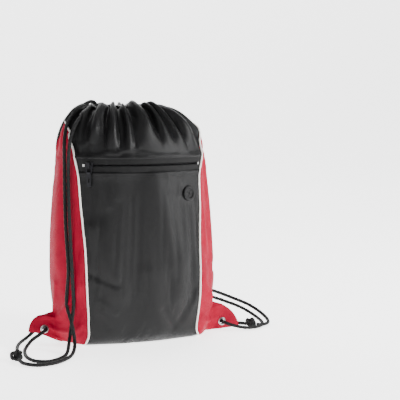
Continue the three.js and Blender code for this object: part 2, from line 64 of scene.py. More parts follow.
# The ears at the lower corners: where their tips are (left, right), and how their layers lie.
EAR_TIP_X = (153.5, 170.5)
EAR_TIP_Z = (19, 3)
EAR_CROWN = 11.0
EAR_GAP = 0.9
EAR_FROM_U, EAR_TOP = 0.66, 95
# The eyelets: their place from the side and the bottom, the hole, and the cloth left alone there.
EYELET_IN, EYELET_UP = 18.7, 19
EYELET_HOLE = 4.3
EYELET_BESIDE = 13
# The seams, the hem's channel and the zip's opening.
SEAM_WRAP = 0.11
CHANNEL = 9.5
CHANNEL_END = 0.8
PIPING_TOP = 383.0
PIPING_GAP = 1.2 / HALF_WIDTH
PIPING_RADIUS = 1.4
UPPER_EDGE = 318.5
POCKET_EDGE = 298.6
ZIP_H = 305
PORT_U, PORT_H = 0.44, 264
# Millimetres for a step of 1 in u on the filled front.
ACROSS = 150
CELL = 2.4

# Closed curves round the bag at flat heights h: half width a, half depth b, the radius of the
# front and back arcs, the heights at the front and at the side seams, and the centre along X.
LEVELS = {
    "h": (60, 120, 190, 255, 285, 325, 355, 383, 403, 421, 445),
    "a": (118, 121, 119, 115, 112, 108, 98, 80, 61, 41, 38),
    "b": (60, 74, 79, 78, 76.5, 76, 68, 50, 36, 25, 22),
    "radius": (260, 240, 215, 160, 150, 150, 145, 118, 92, 64, 60),
    "front": (20, 76, 143, 205, 234, 271, 303, 328, 336, 322, 333),
    "side": (46, 98, 157, 212, 238, 272, 299, 318, 326, 320, 339),
    "centre": (2, 1, 0, 0, 0, 0, -2, -6, -10, -12, -12),
}
# The piping's distance from the middle of the flat front, on each side.
PIPING = {
    "h": (0, 62, 90, 144, 183, 222, 261, 300, 335, 360, 383),
    "left": (99, 98, 96, 96, 98, 103, 110, 117, 131, 152, 177),
    "right": (100, 100, 98.5, 97, 98, 100.5, 105, 112, 133, 159, 177.5),
}
# Half the width that the cloth is cut to, less what the folds that are not simulated take up.
CUT = {
    "h": (0, 60, 120, 190, 255, 325, 355, 383, 403, 421, 445),
    "half": (156, 158, 166, 167, 162, 154, 160, 168, 166, 154, 146),
}

# Drawcord routes, as in the CAD, each from its knot and back to it.
LEFT_ROUTE = [
    (-189.5, -75, 3.5), (-186, -42, 3.2), (-177, -8, 4), (-160, 15, 8), (-147, 17, 17),
    (-138.6, 7, 21.3), (-138.6, -7, 21.3), (-148, -17, 18), (-162, -25, 12), (-174, -40, 4.5),
    (-179, -60, 3.1), (-180.5, -88, 3.1), (-174, -109, 3.1), (-159, -117, 3.1),
    (-141, -106, 3.1), (-127, -85, 3.6), (-116.5, -57, 14), (-111, -50.5, 40), (-107.8, -48.6, 62),
    (-110.4, -52.8, 105), (-112.2, -49.2, 174), (-111.4, -41, 230), (-110.4, -41.2, 270),
    (-107.2, -40.5, 294), (-98.5, -35.4, 312.5), (-86.5, -26.2, 325.6), (-75.5, -15.5, 333.5),
    (-63, -4.2, 337), (-51.5, -8, 332), (-38.5, -15.2, 332), (-20.5, -18, 332),
    (-2.5, -15.2, 332), (8.5, -9.5, 332), (12.5, 0, 332), (8.5, 9.5, 332), (-2.5, 15.2, 332),
    (-20.5, 18, 332), (-38.5, 15.2, 332), (-51.5, 8, 332), (-64, 2, 343.5), (-75.5, -1.5, 340.5),
    (-89, -6.5, 330.5), (-105, -19, 316.5), (-113.2, -31.4, 296), (-115.4, -36, 250),
    (-116.4, -43.2, 176), (-114.6, -48.2, 110), (-116, -42.5, 62), (-112.5, -56, 38),
    (-110.5, -64, 13), (-120, -90, 4.2), (-135, -113, 3.1), (-154, -128, 3.1),
    (-176, -131, 3.1), (-191, -116, 3.2), (-194.5, -98, 4),
]
RIGHT_ROUTE = [
    (176, 4, 3.8), (161.5, 20, 4.5), (144.5, 21, 11), (133.4, 7, 12.2), (133.4, -7, 12.2),
    (145, -17, 8), (164, -22, 4), (184, -19, 3.3), (202, 1, 3.4), (202, 26, 9), (187, 50, 20),
    (163, 64, 30), (142, 69, 38), (120, 67, 51), (103, 62.5, 67), (89, 60, 95), (85, 59.4, 165),
    (79.8, 53.4, 235), (81.6, 52.2, 267), (71.6, 40.6, 312), (50.4, 23, 329.8),
    (38, 13.4, 331), (26, 6.6, 328.4), (10.5, 7.5, 323.5), (-2.5, 15.2, 323.5),
    (-20.5, 18, 323.5), (-38.5, 15.2, 323.5), (-50, 9, 323.5), (-53.5, 0, 323.5),
    (-50, -9, 323.5), (-38.5, -15.2, 323.5), (-20.5, -18, 323.5), (-2.5, -15.2, 323.5),
    (10.5, -7.5, 323.5), (27, -1, 327.5), (44, 7.6, 331), (57, 16.4, 329.6), (78, 34.4, 312.2),
    (89.2, 46, 267), (87.4, 48.4, 235), (92.8, 53.4, 165), (96.6, 53.5, 92), (112, 58.5, 66),
    (130, 64, 53), (153, 67, 44), (177, 62, 34), (199, 46, 24), (213, 24, 12), (213, 4, 5),
    (202, -7, 3.6), (189, -7, 4),
]
CORD_RADIUS = 2.5
CORD_STEP = 1.1
# How far the middle of the cloth and of the piping stays from a cord's middle.
PANEL_CLEARANCE = 3.4
HEM_CLEARANCE = 3.1
PIPING_CLEARANCE = 4.4

# The simulated shell: its grid, how firmly its parts are held, and how far they may move in mm.
COLUMNS = 100
ROWS = np.concatenate([np.arange(0, 298, 6.5), np.arange(298, HEIGHT, 4.2), [HEIGHT]])
PLEATS = 10
BODY_HOLD = 0.07
SIDE_HOLD = 0.25
CREST_HOLD = 0.22
SIM_FRAMES = 22
REACH = 9
MOUTH_REACH = 8
ZIP_TIGHTNESS = 0.82

# Stitches, the zip's coil and the rounding of the CAD nodes' edges.
STITCH_PITCH = 3.2
STITCH_LONG = 2.4
STITCH_RADIUS = 0.27
ZIP_Z = 256.0
ZIP_RADIUS = 150.0
ZIP_HALF_ANGLE = math.radians(34.6)
COIL_HALF_ANGLE = math.radians(32.6)
COIL_PITCH = 1.25
COIL_OUT = 1.15
COIL_WIRE = 0.25
EDGE_ROUND = 0.16

# The camera and the lights, in metres and watts: each light's place, size and power.
CAMERA_PLACE = (-0.4471, -1.4345, 0.340)
CAMERA_HEADING, CAMERA_PITCH = math.radians(20.82), math.radians(5.30)
CAMERA_LENS = 93.1
LIGHTS = {
    "key_light": ((1.75, -1.3, 1.0), 0.7, 82),
    "fill_light": ((-1.7, -1.7, 1.3), 1.2, 12),
    "top_light": ((0.2, 0.5, 2.1), 1.2, 34),
}
LIT_POINT = (0, 0, 0.18)
WORLD_STRENGTH = 0.25
FLOOR_GLOW = 2.5


# --- Camera, light and floor ------------------------------------------------------------------

def placed(name, data):
    """A new object with this data, in the scene."""
    thing = bpy.data.objects.new(name, data)
    bpy.context.collection.objects.link(thing)
    return thing


def make_camera():
    data = bpy.data.cameras.new("camera")
    data.sensor_width = 36
    data.lens = CAMERA_LENS
    camera = placed("camera", data)
    camera.location = CAMERA_PLACE
    camera.rotation_euler = (math.pi / 2 - CAMERA_PITCH, 0, -CAMERA_HEADING)
    bpy.context.scene.camera = camera


def make_lights():
    for name, (place, size, power) in LIGHTS.items():
        data = bpy.data.lights.new(name, "AREA")
        data.shape = "DISK"
        data.size = size
        data.energy = power
        light = placed(name, data)
        light.location = place
        light.rotation_euler = (Vector(LIT_POINT) - Vector(place)).to_track_quat("-Z", "Y").to_euler()
    world = bpy.data.worlds.new("studio")
    world.use_nodes = True
    background = world.node_tree.nodes["Background"]
    background.inputs["Color"].default_value = (1, 1, 1, 1)
    background.inputs["Strength"].default_value = WORLD_STRENGTH
    bpy.context.scene.world = world


def make_floor():
    """A pale floor that turns up into a backdrop behind the bag."""
    half, back, bend, top, steps, drop = 4.0, 3.2, 1.2, 3.5, 14, 0.0006
    profile = [(-half, -drop), (0.0, -drop)]
    for k in range(steps + 1):
        angle = k / steps * math.pi / 2
        profile.append((back - bend + bend * math.sin(angle), bend * (1 - math.cos(angle)) - drop))
    profile.append((back, top))
    points = [(x, y, z) for y, z in profile for x in (-half, half)]
    faces = [(2 * k, 2 * k + 1, 2 * k + 3, 2 * k + 2) for k in range(len(profile) - 1)]
    mesh = bpy.data.meshes.new("floor")
    mesh.from_pydata(points, [], faces)
    mesh.shade_smooth()
    floor = placed("floor", mesh)
    floor.data.materials.append(floor_material())


# --- Materials --------------------------------------------------------------------------------

def new_material(name, color, roughness, metallic=0.0, sheen=0.0, specular=0.5):
    material = bpy.data.materials.new(name)
    material.use_nodes = True
    shader = material.node_tree.nodes["Principled BSDF"]
    shader.inputs["Base Color"].default_value = (*color, 1)
    shader.inputs["Roughness"].default_value = roughness
    shader.inputs["Metallic"].default_value = metallic
    shader.inputs["Sheen Weight"].default_value = sheen
    shader.inputs["Sheen Roughness"].default_value = 0.4
    shader.inputs["Specular IOR Level"].default_value = specular
    return material, shader


class Nodes:
    """Short calls for building one material's nodes."""

    def __init__(self, material):
        self.tree = material.node_tree
        self.shader = self.tree.nodes["Principled BSDF"]

    def add(self, kind, inputs=(), **settings):
        node = self.tree.nodes.new(kind)
        for key, value in settings.items():
            setattr(node, key, value)
        for key, value in dict(inputs).items():
            if isinstance(value, bpy.types.NodeSocket):
                self.tree.links.new(value, node.inputs[key])
            else:
                node.inputs[key].default_value = value
        return node

    def math(self, operation, a, b=0.0):
        return self.add("ShaderNodeMath", {0: a, 1: b}, operation=operation).outputs[0]

    def mix(self, share, a, b):
        node = self.add("ShaderNodeMix", {0: share, 6: a, 7: b}, data_type="RGBA")
        return node.outputs[2]

    def scaled(self, color, factor):
        inputs = {0: color, "Scale": factor}
        return self.add("ShaderNodeVectorMath", inputs, operation="SCALE").outputs[0]

    def ramp(self, value, low, high, start=0.0, end=1.0):
        inputs = {0: value, 1: start, 2: end, 3: low, 4: high}
        return self.add("ShaderNodeMapRange", inputs).outputs[0]

    def place(self, source, scale):
        coordinates = self.add("ShaderNodeTexCoord").outputs[source]
        inputs = {"Vector": coordinates, "Scale": scale}
        return self.add("ShaderNodeMapping", inputs).outputs[0]

    def noise(self, vector, scale, detail=3.0, roughness=0.5):
        inputs = {"Vector": vector, "Scale": scale, "Detail": detail, "Roughness": roughness}
        return self.add("ShaderNodeTexNoise", inputs).outputs[0]

    def wave(self, vector, scale, direction):
        inputs = {"Vector": vector, "Scale": scale}
        settings = {"wave_type": "BANDS", "bands_direction": direction}
        return self.add("ShaderNodeTexWave", inputs, **settings).outputs[1]

    def bump(self, height, strength, distance, below=None):
        inputs = {"Height": height, "Strength": strength, "Distance": distance}
        if below is not None:
            inputs["Normal"] = below
        return self.add("ShaderNodeBump", inputs).outputs[0]

    def connect(self, socket, value):
        self.tree.links.new(value, self.shader.inputs[socket])


def shades(color, spread):
    dark = [c * (1 - spread) for c in color]
    light = [min(c * (1 + spread), 1) for c in color]
    return (*dark, 1), (*light, 1)


def woven(name, color, roughness, sheen, yarn=0.55, spread=0.14, relief=0.00012, source="UV",
          specular=0.28):
    """A plain weave of the given yarn pitch in mm, with uneven dye, crushed spots and sheen."""
    material, shader = new_material(name, color, roughness, sheen=sheen, specular=specular)
    shader.inputs["Sheen Tint"].default_value = (*[min(1, 0.35 + 1.2 * c) for c in color], 1)
    nodes = Nodes(material)
    flat = nodes.place(source, (1, 1, 1))
    per_metre = 1 / (math.pi * yarn * MM)
    warp = nodes.wave(flat, per_metre, "X")
    weft = nodes.wave(flat, per_metre, "Y")
    checks = nodes.math("MULTIPLY", warp, weft)
    either = nodes.math("MAXIMUM", warp, weft)
    weave = nodes.math("SUBTRACT", either, nodes.math("MULTIPLY", checks, 0.6))
    uneven = nodes.noise(flat, 38, 5, 0.6)
    slub = nodes.noise(nodes.place(source, (1, 14, 1)), 90, 3, 0.5)
    crush = nodes.noise(flat, 160, 4, 0.6)
    dark, light = shades(color, spread)
    base = nodes.mix(nodes.ramp(uneven, 0, 1, 0.3, 0.7), dark, light)
    speck = nodes.ramp(nodes.math("ADD", weave, slub), 0.72, 1.08, 0.5, 1.7)
    base = nodes.scaled(base, speck)
    nodes.connect("Base Color", base)
    nodes.connect("Roughness", nodes.ramp(crush, roughness - 0.07, roughness + 0.09, 0.3, 0.7))
    creases = nodes.bump(crush, 0.35, 0.0005)
    nodes.connect("Normal", nodes.bump(weave, 0.5, relief, creases))
    return material


def braided(name, color):
    """Braided yarn: fine strands along the cord's own relief."""
    material, _ = new_material(name, color, 0.62, sheen=0.03, specular=0.22)
    nodes = Nodes(material)
    along = nodes.place("UV", (1, 1, 1))
    strands = nodes.wave(along, 900, "DIAGONAL")
    fuzz = nodes.noise(along, 1500, 4, 0.6)
    dark, light = shades(color, 0.5)
    nodes.connect("Base Color", nodes.mix(nodes.math("MULTIPLY", strands, fuzz), dark, light))
    nodes.connect("Normal", nodes.bump(nodes.math("ADD", strands, fuzz), 0.5, 0.0002))
    return material


def hard(name, color, roughness, grain, stretch, patch, spread, worn, relief, **look):
    """Metal, rubber or plastic: a fine grain, with patches that are darker and less smooth."""
    material, _ = new_material(name, color, roughness, **look)
    nodes = Nodes(material)
    fine = nodes.noise(nodes.place("Object", (1, 1, stretch)), grain, 3, 0.6)
    patches = nodes.noise(nodes.place("Object", (1, 1, 1)), *patch)
    dark, light = shades(color, spread)
    nodes.connect("Base Color", nodes.mix(patches, dark, light))
    nodes.connect("Roughness", nodes.ramp(patches, roughness - 0.06, roughness + worn, 0.3, 0.7))
    nodes.connect("Normal", nodes.bump(fine, *relief))
    return material


METAL = dict(
    grain=900, stretch=9, patch=(260, 4, 0.6), spread=0.12, worn=0.12, relief=(0.15, 0.00005),
    metallic=1.0,
)
MOULDED = dict(
    grain=2600, stretch=1, patch=(300, 3, 0.5), spread=0.18, worn=0.1, relief=(0.3, 0.00008),
    specular=0.2,
)


def floor_material():
    material, shader = new_material("floor_paint", (0.93, 0.93, 0.93), 0.8, specular=0.2)
    shader.inputs["Emission Color"].default_value = (1, 1, 1, 1)
    shader.inputs["Emission Strength"].default_value = FLOOR_GLOW
    nodes = Nodes(material)
    speck = nodes.noise(nodes.place("Object", (1, 1, 1)), 3, 2, 0.5)
    nodes.connect("Base Color", nodes.mix(speck, (0.92, 0.92, 0.92, 1), (0.95, 0.95, 0.95, 1)))
    return material


# --- Mesh helpers -----------------------------------------------------------------------------

def new_piece(name, points, faces, finish, uvs=None):
    """A mesh object from points in mm, on the bag. uvs, in mm, has one row for each point."""
    mesh = bpy.data.meshes.new(name)
    places = (np.asarray(points, float) * MM).tolist()
    mesh.from_pydata(places, [], [list(map(int, face)) for face in faces])
    mesh.update()
    if uvs is not None:
        layer = mesh.uv_layers.new(name="flat")
        loops = np.empty(len(mesh.loops), dtype=np.int32)
        mesh.loops.foreach_get("vertex_index", loops)
        layer.data.foreach_set("uv", (np.asarray(uvs, float)[loops] * MM).astype(np.float32).ravel())
    mesh.shade_smooth()
    piece = placed(name, mesh)
    mesh.materials.append(FINISHES[finish])
    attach(piece, "bag")
    return piece


def smoothstep(low, high, value):
    t = np.clip((np.asarray(value, float) - low) / (high - low), 0, 1)
    return t * t * (3 - 2 * t)


def unit(vectors):
    return vectors / (np.linalg.norm(vectors, axis=-1, keepdims=True) + 1e-9)


def run_length(line):
    """How far along a line each of its points lies."""
    return np.concatenate([[0], np.cumsum(np.linalg.norm(np.diff(line, axis=0), axis=1))])


def walk(values, along, places):
    """A line's points, or directions at them, read at distances along it."""
    return np.stack([np.interp(places, along, values[:, k]) for k in range(3)], axis=-1)


def circles(across, up, sides):
    """A unit circle at each point of a line, in the plane of two directions there."""
    angles = np.arange(sides) / sides * TAU
    return across[:, None] * np.cos(angles)[None, :, None] + up[:, None] * np.sin(angles)[None, :, None]


def above_floor(points, least=LOWEST):
    points[..., 2] = np.maximum(points[..., 2], least)
    return points


def smooth_curve(points, step):
    """A centripetal Catmull-Rom curve through the points, walked at an even step."""
    p = np.asarray(points, float)
    p = np.vstack([2 * p[0] - p[1], p, 2 * p[-1] - p[-2]])
    t = np.linspace(0, 1, 20, endpoint=False)[:, None]
    stretches = []
    for a, b, c, d in zip(p[:-3], p[1:-2], p[2:-1], p[3:]):
        before, within, after = (math.sqrt(np.linalg.norm(v)) for v in (b - a, c - b, d - c))
        start = ((b - a) / before - (c - a) / (before + within) + (c - b) / within) * within
        end = ((c - b) / within - (d - b) / (within + after) + (d - c) / after) * within
        stretches.append(b * (1 + 2 * t) * (1 - t) ** 2 + c * t * t * (3 - 2 * t)
                         + start * t * (1 - t) ** 2 - end * t * t * (1 - t))
    line = np.vstack([*stretches, p[-2][None]])
    along = run_length(line)
    even = np.linspace(0, along[-1], max(int(round(along[-1] / step)), 2) + 1)
    return walk(line, along, even), even


def line_frames(line):
    """Two unit vectors across a line at each of its points, turning as little as they can."""
    tangents = unit(np.gradient(line, axis=0))
    side = np.cross(tangents[0], (0, 0, 1.0))
    if np.linalg.norm(side) < 1e-3:
        side = np.cross(tangents[0], (1.0, 0, 0))
    sides = []
    for tangent in tangents:
        side = side - tangent * side.dot(tangent)
        side = side / np.linalg.norm(side)
        sides.append(side)
    sides = np.array(sides)
    return sides, np.cross(tangents, sides)


def tube(name, line, along, radii, sides, finish):
    """A closed tube along a line. radii takes angles and distances along, and gives radii."""
    crown = 0.8
    across, up = line_frames(line)
    angles = np.arange(sides) / sides * TAU
    reach = radii(angles[None, :], along[:, None]) * np.ones((len(line), sides))
    points = (line[:, None] + circles(across, up, sides) * reach[..., None]).reshape(-1, 3)
    tangents = unit(np.gradient(line, axis=0))
    first, last = len(points), len(points) + 1
    points = np.vstack([points, line[0] - tangents[0] * crown, line[-1] + tangents[-1] * crown])
    end = (len(line) - 1) * sides
    faces = []
    for ring in range(0, end, sides):
        for i in range(sides):
            k = (i + 1) % sides
            faces.append((ring + i, ring + k, ring + sides + k, ring + sides + i))
    for i in range(sides):
        k = (i + 1) % sides
        faces += [(first, k, i), (last, end + i, end + k)]
    girth = angles * CORD_RADIUS
    uvs = np.stack(np.broadcast_arrays(girth[None, :], along[:, None]), axis=-1).reshape(-1, 2)
    return new_piece(name, points, faces, finish, np.vstack([uvs, [[0, along[0]], [0, along[-1]]]]))


# --- Drawcords and their knots ----------------------------------------------------------------

def braid_radii(radius, strands=4, pitch=9.0, relief=0.38):
    """The radius of a braid whose strands cross over each other both ways."""
    def radii(angle, along):
        right = np.cos(strands * angle + TAU * along / pitch)
        left = np.cos(strands * angle - TAU * along / pitch)
        return radius - relief + relief * np.maximum(right, left)
    return radii


def make_cord(name, route, node):
    line, along = smooth_curve(route, CORD_STEP)
    cord = tube(name, line, along, braid_radii(CORD_RADIUS + 0.1), 24, "braided_cord")
    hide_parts(node)
    return line


def make_knot(name, node, turn):
    """An overhand knot: one strand led through its own loop and on round to its start, as a closed
    trefoil.
    """
    low, high = (np.array(corner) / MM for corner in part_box(node))
    middle, half = (low + high) / 2, (high - low) / 2 - CORD_RADIUS * 0.9
    t = np.linspace(0.0, TAU, 60, endpoint=False)
    x, y = np.sin(t) + 2 * np.sin(2 * t), np.cos(t) - 2 * np.cos(2 * t)
    loops = np.stack([x, y, -np.sin(3 * t)], axis=-1)
    loops = loops / np.abs(loops).max(axis=0) * half
    cos, sin = math.cos(turn), math.sin(turn)
    spin = np.array([[cos, -sin, 0], [sin, cos, 0], [0, 0, 1]])
    line, along = smooth_curve(middle + np.vstack([loops, loops[:2]]) @ spin.T, 0.9)
    line = above_floor(line, CORD_RADIUS + 0.2)
    knot = tube(name, line, along, braid_radii(CORD_RADIUS), 20, "braided_cord")
    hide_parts(node)
    return knot


# --- The shape of the cloth -------------------------------------------------------------------

def table_value(table, key, h):
    """A smooth curve through a table's columns, read at flat heights h."""
    x, y = np.array(table["h"], float), np.array(table[key], float)
    h = np.clip(np.asarray(h, float), x[0], x[-1])
    i = np.clip(np.searchsorted(x, h) - 1, 0, len(x) - 2)
    before = np.maximum(np.arange(len(x)) - 1, 0)
    after = np.minimum(np.arange(len(x)) + 1, len(x) - 1)
    slope = (y[after] - y[before]) / (x[after] - x[before])
    span = x[i + 1] - x[i]
    t = (h - x[i]) / span
    return (y[i] * (1 + 2 * t) * (1 - t) ** 2 + y[i + 1] * t * t * (3 - 2 * t)
            + span * t * (1 - t) * ((1 - t) * slope[i] - t * slope[i + 1]))


def oval(a, b, radius, u):
    """The front half of a closed curve: a large arc that runs into a smaller one at the side."""
    corner = (2 * radius * b - a * a - b * b) / (2 * (radius - a))
    turn = np.arcsin((a - corner) / (radius - corner))
    front, side = radius * turn, corner * (math.pi / 2 - turn)
    along = np.abs(u) * (front + side)
    wide, tight = along / radius, turn + (along - front) / corner
    x = np.where(along <= front, radius * np.sin(wide), a - corner + corner * np.sin(tight))
    y = np.where(along <= front, radius - b - radius * np.cos(wide), -corner * np.cos(tight))
    return np.sign(u) * x, y, front + side


def wall(u, h, inset=0.0):
    a, b, radius, front, side, centre = (
        table_value(LEVELS, key, h) for key in ("a", "b", "radius", "front", "side", "centre")
    )
    x, y, _ = oval(a - inset, b - inset, radius - inset, u)
    z = front + (side - front) * np.abs(u) ** 3
    return np.stack([BODY_X + centre + x, y, z], axis=-1)


def bottom(u, h):
    """From the bottom seam forward along the floor and up, closing to flat ears at the corners."""
    foot = wall(u, np.full_like(u, BOTTOM))
    up = unit(wall(u, np.full_like(u, BOTTOM + 1)) - foot)
    square = (1 - smoothstep(0.6, 1, np.abs(u)))[..., None]
    tip_x = np.where(u < 0, *EAR_TIP_X)
    tip_z = np.where(u < 0, *EAR_TIP_Z)
    seam_z = 0.75 + tip_z * smoothstep(0.62, 1, np.abs(u))
    seam = np.stack([BODY_X + tip_x * u, 0 * u, seam_z], axis=-1)
    third = (foot - seam) / 3
    first = seam + third * (1 - square) + np.array([0, -46.0, 0]) * square
    second = foot + third * (square - 1) - up * 18 * square
    t = (h / BOTTOM)[..., None]
    crown = EAR_CROWN * np.sin(math.pi * t ** 0.8) * smoothstep(0.8, 1, np.abs(u))[..., None]
    outward = np.stack([np.sign(u) * 0.5, 0 * u, 0 * u + 0.86], axis=-1)
    return (seam * (1 - t) ** 3 + 3 * first * t * (1 - t) ** 2 + 3 * second * t * t * (1 - t)
            + foot * t ** 3 + outward * crown)


def cloth_point(u, h):
    """The middle of the cloth on the front half of the bag."""
    u, h = np.broadcast_arrays(np.asarray(u, float), np.asarray(h, float))
    low = bottom(u, np.minimum(h, BOTTOM))
    high = wall(u, np.maximum(h, BOTTOM))
    points = np.where((h < BOTTOM)[..., None], low, high)
    points[..., 1] *= smoothstep(58, 110, (1 - np.abs(u)) * HALF_WIDTH + h)
    points[..., 2] -= FLOOR_SETTLE * np.maximum(1 - h / BOTTOM, 0)
    return above_floor(points, CLOTH)


def on_side(points, side):
    """Points of the front half, mirrored to the back half if that is the side."""
    return points * (1, -1, 1) if side == BACK else points


def seam_wrap(h):
    """How far round onto the back the side panels reach, but not at the ears or the mouth."""
    return SEAM_WRAP * smoothstep(45, 240, h) * (1 - smoothstep(290, 381, h))


def cloth_normal(u, h):
    across = cloth_point(np.clip(u + 0.004, -1, 1), h) - cloth_point(np.clip(u - 0.004, -1, 1), h)
    upward = cloth_point(u, h + 0.5) - cloth_point(u, np.maximum(h - 0.5, 0))
    return unit(np.cross(across, upward))


def half_girth(h):
    a, b, radius = (table_value(LEVELS, key, np.maximum(h, BOTTOM)) for key in ("a", "b", "radius"))
    return oval(a, b, radius, np.ones_like(np.asarray(h, float)))[2]


def piping_u(h, end):
    """How far out the piping is at height h, on the side that end's sign gives."""
    h = np.clip(h, 0, PIPING_TOP)
    left, right = table_value(PIPING, "left", h), table_value(PIPING, "right", h)
    return np.where(np.asarray(end) < 0, left, right) / HALF_WIDTH


# --- Cloth simulation of the whole shell ------------------------------------------------------

def pleat_outset(u, h, seed):
    """How far the gathers stand out of the mouth's smooth oval before the simulation."""
    random = np.random.default_rng(seed)
    edges = np.concatenate([[0], np.cumsum(random.uniform(0.65, 1.35, PLEATS))])
    edges = edges / edges[-1]
    across = (u + 1) / 2
    k = np.clip(np.searchsorted(edges, across, side="right") - 1, 0, PLEATS - 1)
    share = np.clip((across - edges[k]) / (edges[k + 1] - edges[k]), 0, 1)
    reach = random.uniform(316, 350, PLEATS)[k]
    strength = random.uniform(0.7, 1.15, PLEATS)[k]
    length = 2 * half_girth(h) * (edges[k + 1] - edges[k])
    cut = 2 * np.interp(h, CUT["h"], CUT["half"]) * (edges[k + 1] - edges[k])
    depth = 0.5 * np.sqrt(np.maximum(cut ** 2 - length ** 2, 0))
    ridge = np.abs(np.sin(math.pi * share)) ** 0.8
    hollow = 0.25 * (1 - smoothstep(395, 412, h))
    fade = smoothstep(reach - 12, reach + 25, h)
    return (ridge - hollow) * np.minimum(depth, 11) * fade * strength


def shell_grid():
    u = np.linspace(-1, 1, COLUMNS + 1)
    return np.meshgrid(u, ROWS)


def shell_start(side):
    """The cloth before the simulation, with its gathers."""
    u, h = shell_grid()
    points = cloth_point(u, h) + cloth_normal(u, h) * pleat_outset(u, h, 11 + side)[..., None]
    return above_floor(on_side(points, side), CLOTH)


def pin_weights(u, h, side):
    """1 where the cloth is held: the hem, the zip, the bottom seam, the eyelets and the port."""
    held = smoothstep(417, 423, h)
    if side == FRONT:
        band = (1 - smoothstep(319, 326, h)) * (h > 293) * (np.abs(u) < piping_u(h, u) + 0.012)
        port = np.hypot((u - PORT_U) * ACROSS, h - PORT_H)
        held = np.maximum(held, np.maximum(band, 1 - smoothstep(12, 18, port)))
    seam = (1 - smoothstep(2, 9, h)) * (1 - smoothstep(0.5, 0.62, np.abs(u)))
    eyelet = np.hypot((1 - np.abs(u)) * HALF_WIDTH - EYELET_IN, h - EYELET_UP)
    held = np.maximum(held, np.maximum(seam, 1 - smoothstep(8, 14, eyelet)))
    crest = CREST_HOLD * smoothstep(380, 398, h)
    edge = SIDE_HOLD * smoothstep(0.62, 0.85, np.abs(u)) * smoothstep(60, 90, h)
    return np.maximum(held, np.maximum(np.maximum(BODY_HOLD, edge), crest))


def shell_mesh():
    """Both halves as one mesh, sewn at the sides and the bottom, and its flat rest shape."""
    index = np.zeros((2, len(ROWS), COLUMNS + 1), dtype=int)
    u, h = shell_grid()
    points, rest, held = [], [], []
    for side in (FRONT, BACK):
        start = shell_start(side)
        weights = pin_weights(u, h, side)
        sewn = (h == 0) | (np.abs(u) == 1)
        for j, i in np.ndindex(index.shape[1:]):
            if side == BACK and sewn[j, i]:
                index[side, j, i] = index[FRONT, j, i]
                continue
            index[side, j, i] = len(points)
            points.append(start[j, i])
            held.append(weights[j, i])
            half = np.interp(h[j, i], CUT["h"], CUT["half"])
            rest.append((half * u[j, i], 0.0 if sewn[j, i] else side - 0.5, h[j, i]))
    faces = []
    for side in (FRONT, BACK):
        grid = index[side]
        quads = np.stack([grid[:-1, :-1], grid[:-1, 1:], grid[1:, 1:], grid[1:, :-1]], -1)
        quads = quads.reshape(-1, 4)
        faces += (quads[:, ::-1] if side == BACK else quads).tolist()
    return index, np.array(points), np.array(rest), np.array(held), faces


def simulate(points, rest, held, faces):
    """Blender's Cloth on the shell: it starts drawn in at the mouth and pops out into folds."""
    mesh = bpy.data.meshes.new("shell")
    mesh.from_pydata((points * MM).tolist(), [], faces)
    shell = placed("shell", mesh)
    shell.shape_key_add(name="Basis")
    flat = shell.shape_key_add(name="flat")
    flat.data.foreach_set("co", (rest * MM).ravel())
    group = shell.vertex_groups.new(name="held")
    rounded = np.round(held, 2)
    for weight in np.unique(rounded):
        group.add(np.nonzero(rounded == weight)[0].tolist(), float(weight), "REPLACE")
    cloth = shell.modifiers.new("cloth", "CLOTH")
    settings = cloth.settings
    settings.quality = 6
    settings.mass = 0.15
    settings.tension_stiffness = settings.compression_stiffness = 15
    settings.shear_stiffness = 5
    settings.bending_stiffness = 0.5
    settings.air_damping = 2
    settings.vertex_group_mass = "held"
    settings.pin_stiffness = 1
    settings.rest_shape_key = flat
    settings.use_pressure = True
    settings.uniform_pressure_force = 2.2
    settings.effector_weights.gravity = 0.3
    cloth.collision_settings.use_collision = False
    cloth.point_cache.frame_end = SIM_FRAMES
    scene = bpy.context.scene
    scene.frame_end = SIM_FRAMES
    for number in range(1, SIM_FRAMES + 1):
        scene.frame_set(number)
    settled = shell.evaluated_get(bpy.context.evaluated_depsgraph_get()).data
    moved = np.empty(len(points) * 3)
    settled.vertices.foreach_get("co", moved)
    bpy.data.objects.remove(shell)
    return moved.reshape(-1, 3) / MM


def keep_near(points, start, h, side):
    """Caps how far the cloth has gone from the CAD's shape, and keeps it off the floor."""
    reach = REACH + MOUTH_REACH * smoothstep(320, 370, h)
    if side == FRONT:
        near_zip = smoothstep(296, 322, h) * (1 - smoothstep(332, 384, h))
        reach = reach * (1 - ZIP_TIGHTNESS * near_zip)
    reach = reach[..., None]
    move = points - start
    far = np.linalg.norm(move, axis=-1, keepdims=True)
    return above_floor(start + move * np.minimum(1, reach * np.tanh(far / reach) / (far + 1e-9)))


def part_ears(y, u, h, side):
    """Keeps the two layers of an ear lying on each other, not in each other."""
    from_seam = np.minimum((1 - np.abs(u)) * HALF_WIDTH, h)
    gap = EAR_GAP * smoothstep(0, 5, from_seam)
    ear = (np.abs(u) > EAR_FROM_U) & (h < EAR_TOP)
    parted = np.minimum(y, -gap) if side == FRONT else np.maximum(y, gap)
    return np.where(ear, parted, y)


def clear_of(points, line, distance):
    """Pushes points out to a distance from a line, softly."""
    tree = KDTree(len(line))
    for k, place in enumerate(line):
        tree.insert(place, k)
    tree.balance()
    out = points.copy()
    for k, place in enumerate(points):
        near, _, gap = tree.find(place)
        if gap < distance:
            out[k] = np.array(near) + (place - np.array(near)) * (distance / max(gap, 0.05))
    return out


